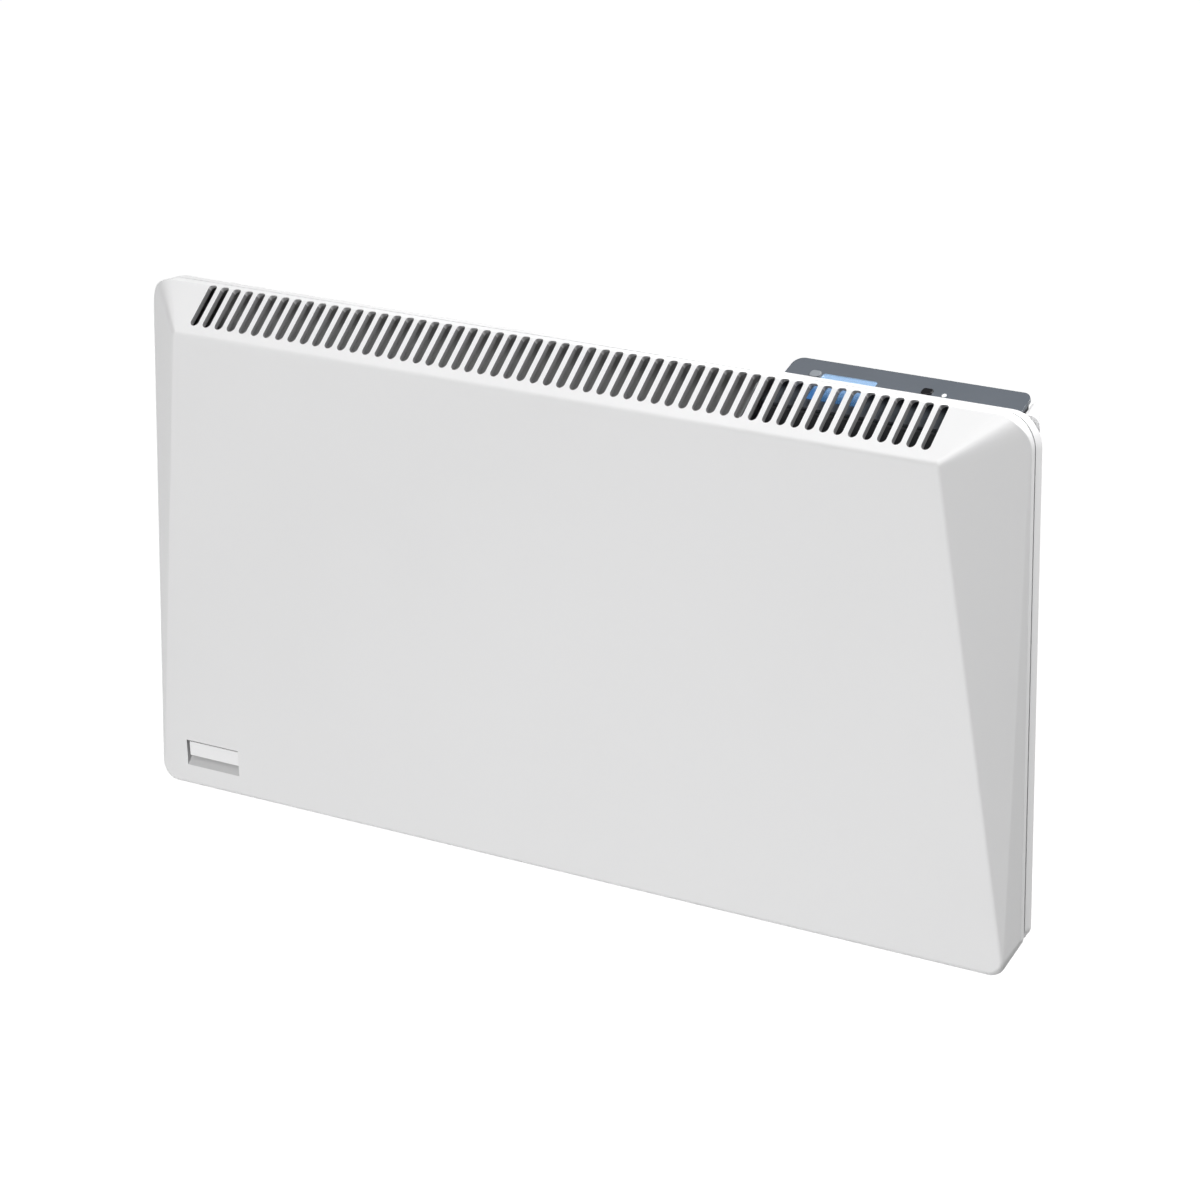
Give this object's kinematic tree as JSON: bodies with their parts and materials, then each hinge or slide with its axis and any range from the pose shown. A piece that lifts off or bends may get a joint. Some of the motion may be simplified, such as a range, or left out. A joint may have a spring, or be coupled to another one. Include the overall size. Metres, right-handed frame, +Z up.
{
  "type": "wall panel convector heater",
  "caption": "Slim wall-hung panel convector with a bevelled white cover, slotted sloping top, inclined display fascia with sprung keys, finned element and lift-off wall bracket.",
  "frame": {"origin": "centre of the four wall screws, on the wall face behind the bracket", "axes": "+X to the right as seen from the room, +Y into the wall, +Z up"},
  "size_m": [0.8, 0.0738, 0.4075],
  "materials": {
    "zinc_steel": "zinc-plated, dull",
    "rubber": "moulded",
    "casing_paint": "fine powder coat, satin",
    "cover_paint": "fine powder coat, satin",
    "badge_blank": "smooth, blank",
    "screw_steel": "zinc-plated",
    "guard_steel": "dull",
    "spring_steel": "rolled",
    "shield_sheet": "galvanised",
    "element_aluminium": "extruded, dull",
    "rod_steel": "heat-darkened",
    "ceramic": "fired ceramic",
    "brass": "stamped",
    "cutout_metal": "drawn",
    "housing_plastic": "fine texture",
    "fascia_gloss": "glossy",
    "display_glass": "clear window",
    "display_blue": "backlit, blank",
    "key_grey": "satin",
    "key_black": "glossy",
    "lamp_white": "diffusing",
    "board_green": "solder mask",
    "switch_black": "moulded",
    "relay_blue": "moulded",
    "transformer_black": "wound and taped",
    "capacitor_yellow": "moulded",
    "sink_aluminium": "extruded",
    "terminal_ivory": "moulded",
    "gland_grey": "moulded",
    "sensor_white": "moulded",
    "lead_grey": "insulated",
    "lead_brown": "insulated",
    "lead_sleeve": "braided glass sleeve",
    "rating_foil": "blank foil"
  },
  "bodies": {
    "wall_bracket": {"wall_bracket": "zinc_steel", "bracket_bumpers": "rubber"},
    "heater": {"rear_casing": "casing_paint", "front_cover": "cover_paint", "badge_plate": "badge_blank", "cover_screws": "screw_steel", "inlet_guard": "guard_steel", "hanger_plates": "zinc_steel", "retaining_clips": "spring_steel", "clip_rivets": "screw_steel", "heat_shield": "shield_sheet", "front_baffle": "shield_sheet", "partition_plate": "shield_sheet", "element_fins": "element_aluminium", "element_rod": "rod_steel", "element_bushes": "ceramic", "left_element_bracket": "zinc_steel", "right_element_bracket": "zinc_steel", "element_terminals": "brass", "element_screws": "screw_steel", "thermal_cutout": "cutout_metal", "control_housing": "housing_plastic", "housing_screws": "screw_steel", "fascia_plate": "fascia_gloss", "display_window": "display_glass", "display_module": "display_blue", "lamp_lens": "lamp_white", "keypad_board": "board_green", "key_switches": "switch_black", "control_board": "board_green", "board_screws": "screw_steel", "relay": "relay_blue", "transformer": "transformer_black", "capacitor": "capacitor_yellow", "heat_sink": "sink_aluminium", "terminal_block": "terminal_ivory", "terminal_screws": "brass", "cable_clamp": "terminal_ivory", "clamp_screws": "screw_steel", "cable_entry": "housing_plastic", "entry_screws": "screw_steel", "cable_gland": "gland_grey", "gland_nut": "gland_grey", "earth_stud": "brass", "room_sensor": "sensor_white", "sensor_lead": "lead_grey", "supply_leads": "lead_brown", "element_leads": "lead_sleeve", "rating_plate": "rating_foil"},
    "mode_key": {"mode_key": "key_grey"},
    "select_key": {"select_key": "key_black"}
  },
  "joints": [
    {"name": "lift_off", "type": "slide", "parent": "wall_bracket", "child": "heater", "axis": [0, 0, 1], "range_m": [0, 0.011]},
    {"name": "mode_key_press", "type": "slide", "parent": "heater", "child": "mode_key", "axis": [0, 0.5, -0.866], "range_m": [0, 0.0008], "stiffness_N_per_m": 900},
    {"name": "select_key_press", "type": "slide", "parent": "heater", "child": "select_key", "axis": [0, 0.5, -0.866], "range_m": [0, 0.0008], "stiffness_N_per_m": 900}
  ]
}
